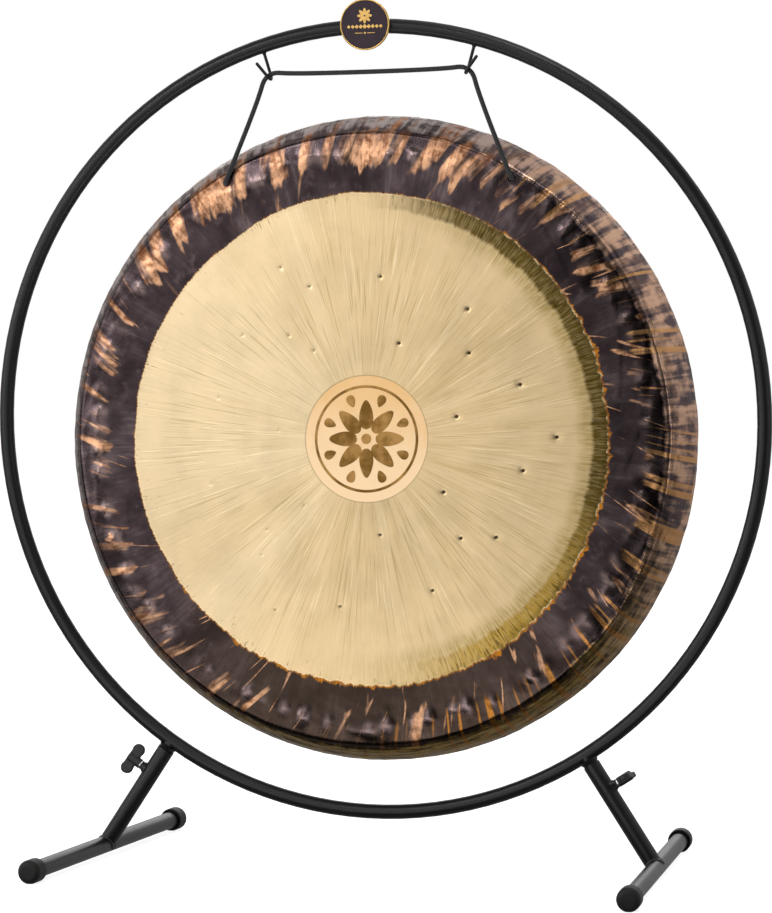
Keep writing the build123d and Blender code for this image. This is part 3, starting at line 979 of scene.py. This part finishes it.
def braided_tube(name, path, diameter, material, step=0.55, segments=32, plait=4.2, carriers=8, closed=False):
    """A tube whose skin is plaited: two sets of strands that cross over and under."""
    points, places = even_steps(path, step * MM)
    if closed:
        points, places = points[:-1], places[:-1]
    before = np.roll(points, 1, axis=0) if closed else np.vstack([points[:1], points[:-1]])
    after = np.roll(points, -1, axis=0) if closed else np.vstack([points[1:], points[-1:]])
    tangents = after - before
    tangents /= np.linalg.norm(tangents, axis=1)[:, None]
    side = np.cross(tangents[0], (0.0, 1.0, 0.0))
    if np.linalg.norm(side) < 0.1:
        side = np.cross(tangents[0], (1.0, 0.0, 0.0))
    vertices = []
    around = np.arange(segments) * 2 * math.pi / segments
    for point, tangent, place_along in zip(points, tangents, places):
        side = side - tangent * (side @ tangent)
        side /= np.linalg.norm(side)
        other = np.cross(tangent, side)
        a = carriers * around / (2 * math.pi) + place_along / (plait * MM)
        b = carriers * around / (2 * math.pi) - place_along / (plait * MM)
        over = np.mod(np.floor(a) + np.floor(b), 2) == 0
        strand_a, strand_b = np.abs(np.sin(math.pi * a)), np.abs(np.sin(math.pi * b))
        high = np.where(over, strand_a ** 0.7, strand_b ** 0.7)
        radius = diameter / 2 * (0.94 + 0.09 * high) * MM
        ring = point + np.outer(radius * np.cos(around), side) + np.outer(radius * np.sin(around), other)
        vertices += [tuple(v) for v in ring]
    faces = []
    rings = len(points)
    for row in range(rings if closed else rings - 1):
        faces += quads(row * segments, (row + 1) % rings * segments, segments)
    if not closed:
        faces.append(tuple(reversed(range(segments))))
        faces.append(tuple((rings - 1) * segments + k for k in range(segments)))
    return new_object(name, vertices, faces, [material])


def make_knot(name, centre, material):
    """A tight stopper knot: three crossing turns pulled into a ball."""
    turns = 160
    outer, strand = KNOT_SIZE / 2, 4.3
    size = (outer - strand / 2) / 3
    path = []
    for k in range(turns + 1):
        t = 2 * math.pi * k / turns
        x = math.sin(t) + 2 * math.sin(2 * t)
        z = math.cos(t) - 2 * math.cos(2 * t)
        path.append(centre + Vector((x, -math.sin(3 * t), z)) * size * MM)
    return braided_tube(name, np.array(path), strand, material, step=0.5, segments=24, plait=3.4, closed=True)


# ======== stand details ========
def leg_direction(side):
    """Down along a leg."""
    turn = math.radians(LEG_ANGLE)
    return Vector((side * math.sin(turn), 0, -math.cos(turn)))


def foot_middle(side):
    reach = (RING_HEIGHT - FOOT_HEIGHT * MM) * math.tan(math.radians(LEG_ANGLE))
    return Vector((side * reach, 0, FOOT_HEIGHT * MM))


def foot_direction(side):
    toe = math.radians(TOE_OUT)
    return Vector((-side * math.sin(toe), math.cos(toe), 0))


def weld_bead(name, line, radius, material, seed):
    """A closed rippled bead along a line of points, in metres."""
    rng = np.random.default_rng(seed)
    points, places = even_steps(np.array(line), 0.7 * MM)
    points, places = points[:-1], places[:-1]
    count, segments = len(points), 12
    tangents = np.roll(points, -1, axis=0) - np.roll(points, 1, axis=0)
    tangents /= np.linalg.norm(tangents, axis=1)[:, None]
    centre = points.mean(axis=0)
    ripple = 3.1 * MM
    lumps = rng.uniform(0.85, 1.15, 9)
    vertices, faces = [], []
    for point, tangent, place_along in zip(points, tangents, places):
        out = point - centre
        out = out - tangent * (out @ tangent)
        out /= np.linalg.norm(out)
        up = np.cross(tangent, out)
        wave = 1 + 0.13 * abs(math.sin(math.pi * place_along / ripple)) - 0.06
        lump = np.interp(place_along / places[-1] * 9, range(10), [*lumps, lumps[0]])
        size = radius * MM * wave * lump
        for k in range(segments):
            turn = 2 * math.pi * k / segments
            vertices.append(tuple(point + out * size * math.cos(turn) + up * size * math.sin(turn)))
    for row in range(count):
        faces += quads(row * segments, (row + 1) % count * segments, segments)
    return new_object(name, vertices, faces, [material])


def leg_foot_line(side, count=96):
    """Where the leg's skin meets the foot's: the seam of two equal round tubes."""
    down, along = leg_direction(side), foot_direction(side)
    across = Vector((0, 1, 0))
    third = down.cross(across)
    middle = foot_middle(side)
    radius = TUBE_RADIUS * MM
    line = []
    for k in range(count + 1):
        turn = 2 * math.pi * k / count
        start = middle + (across * math.cos(turn) + third * math.sin(turn)) * radius
        # go down the leg until the foot's round skin
        offset = start - middle
        a = down - along * down.dot(along)
        b = offset - along * offset.dot(along)
        qa, qb, qc = a.dot(a), 2 * a.dot(b), b.dot(b) - radius ** 2
        root = math.sqrt(max(qb * qb - 4 * qa * qc, 0))
        line.append(tuple(start + down * ((-qb - root) / (2 * qa))))
    return line


# ======== studio ========
def make_camera():
    low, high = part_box("ring_tube")
    ring_centre = (low + high) / 2
    back = direction(CAMERA_AZIMUTH, CAMERA_ELEVATION)
    right = direction(CAMERA_AZIMUTH + 90, 0)
    up = right.cross(-back)
    data = bpy.data.cameras.new("camera")
    data.lens = CAMERA_LENS
    data.sensor_width = 36.0
    camera = bpy.data.objects.new("camera", data)
    scene.collection.objects.link(camera)
    camera.location = ring_centre + back * CAMERA_DISTANCE
    aim = ring_centre + right * AIM_RIGHT - up * AIM_DOWN
    camera.rotation_mode = "QUATERNION"
    camera.rotation_quaternion = (aim - camera.location).to_track_quat("-Z", "Y")
    data.clip_start, data.clip_end = 0.05, 60.0
    scene.camera = camera


def make_floor():
    bpy.ops.mesh.primitive_circle_add(vertices=96, radius=9.0, fill_type="NGON", location=(0, 0, -0.0002))
    floor = bpy.context.object
    floor.name = "floor"
    g = Graph("floor_white", Roughness=0.9, Emission_Color=(1.0, 1.0, 1.0, 1.0), Emission_Strength=0.82)
    g.set("Base Color", g.mix(g.noise(g.point(), 0.002, 2), (0.56, 0.56, 0.56), (0.6, 0.6, 0.6)))
    floor.data.materials.append(g.material)
    floor.visible_glossy = False


def softbox(name, azimuth, elevation, distance, size, radiance, target=(0, 0, 0.6)):
    """A light panel that faces the target; its radiance is 1 where white is to look white."""
    data = bpy.data.lights.new(name, "AREA")
    data.shape = "RECTANGLE"
    data.size, data.size_y = size
    data.energy = radiance * math.pi * size[0] * size[1]
    light = bpy.data.objects.new(name, data)
    scene.collection.objects.link(light)
    back = direction(azimuth, elevation)
    light.location = Vector(target) + back * distance
    light.rotation_mode = "QUATERNION"
    light.rotation_quaternion = (-back).to_track_quat("-Z", "Y")
    light.visible_camera = False


def make_world():
    """White to the camera; for the light, a dim room in front and a white wall behind, darker below."""
    world = bpy.data.worlds.new("studio")
    scene.world = world
    world.use_nodes = True
    nodes, links = world.node_tree.nodes, world.node_tree.links
    path = nodes.new("ShaderNodeLightPath")
    point = nodes.new("ShaderNodeTexCoord")
    axes = nodes.new("ShaderNodeSeparateXYZ")
    links.new(point.outputs["Generated"], axes.inputs[0])
    room = nodes.new("ShaderNodeMath")
    room.operation = "MULTIPLY"
    for slot, (axis, *ends) in enumerate((("Z", -0.6, 0.5, 0.35, 1.0), ("Y", -0.25, 0.35, 0.14, 0.85))):
        ramp = nodes.new("ShaderNodeMapRange")
        for name, value in zip(("From Min", "From Max", "To Min", "To Max"), ends):
            ramp.inputs[name].default_value = value
        links.new(axes.outputs[axis], ramp.inputs["Value"])
        links.new(ramp.outputs[0], room.inputs[slot])
    strength = nodes.new("ShaderNodeMix")
    strength.data_type = "FLOAT"
    links.new(path.outputs["Is Camera Ray"], strength.inputs[0])
    links.new(room.outputs[0], strength.inputs[2])
    strength.inputs[3].default_value = 1.0
    background = nodes["Background"]
    background.inputs["Color"].default_value = (1, 1, 1, 1)
    links.new(strength.outputs[0], background.inputs["Strength"])


def make_light():
    make_world()
    softbox("front", -15.0, -1.0, 3.6, (2.1, 2.5), 1.19)
    softbox("left", -53.0, 6.0, 3.2, (1.1, 1.8), 3.4)
    softbox("far_left", -78.0, 15.0, 3.2, (0.6, 1.6), 3.0)
    softbox("above_left", -36.0, 30.0, 3.0, (0.7, 0.6), 12.0)
    softbox("above", -6.0, 36.0, 3.0, (0.9, 0.4), 8.0)
    softbox("overhead", 40.0, 70.0, 3.0, (1.2, 0.9), 6.0)
    softbox("right", 74.0, 6.0, 3.2, (0.8, 2.2), 1.5)
    softbox("behind", 190.0, 14.0, 3.6, (2.6, 0.7), 3.0)
    softbox("floor_card", -8.0, -90.0, 0.0, (1.6, 0.5), 2.2, target=(-0.15, -0.62, 0.01))


# ======== the object ========
make_camera()

cord_black = braid()
cord_path = route_spline(CORD_ROUTE, "cord_route")
cord = braided_tube("cord", cord_path, CORD, cord_black)
place(cord, "gong", "cord_black", "hanging_cord")
for name, point in (("left_knot", CORD_ROUTE[0]), ("right_knot", CORD_ROUTE[-1])):
    back_of_sheet = Vector(point) + Vector((0, 3.6 * MM, 0))
    knot = make_knot("cord_" + name, back_of_sheet, cord_black)
    place(knot, "gong", "cord_black", name)

gong = make_gong(gong_front(), gong_back())
place(gong, "gong", "gong_bronze", "gong_plate")
place(make_rosette(etched()), "gong", "gong_bronze")

paint, weld, black_rubber = powder_coat(), weld_metal(), rubber()
plastic, bright, gilt = wing_plastic(), zinc(), badge_gilt()
for node in ("ring_tube", "badge_saddle"):
    dress(node, paint)
dress("badge_plate", badge_enamel())
dress("badge_rim", gilt)
dress("badge_emblem", gilt)
for name, side in SIDES.items():
    for node in ("hook", "spigot", "leg_tube", "clamp_nut", "foot_tube"):
        dress(name + "_" + node, paint)
    for node in ("front_cap", "back_cap"):
        dress(name + "_" + node, black_rubber)
    dress(name + "_washer", bright)
    dress(name + "_wing_stud", bright)
    dress(name + "_wing_head", plastic)
    bead = weld_bead(name + "_foot_weld", leg_foot_line(side), 1.9, weld, 40 + side)
    place(bead, name + "_leg", "black_paint")

make_floor()
make_light()
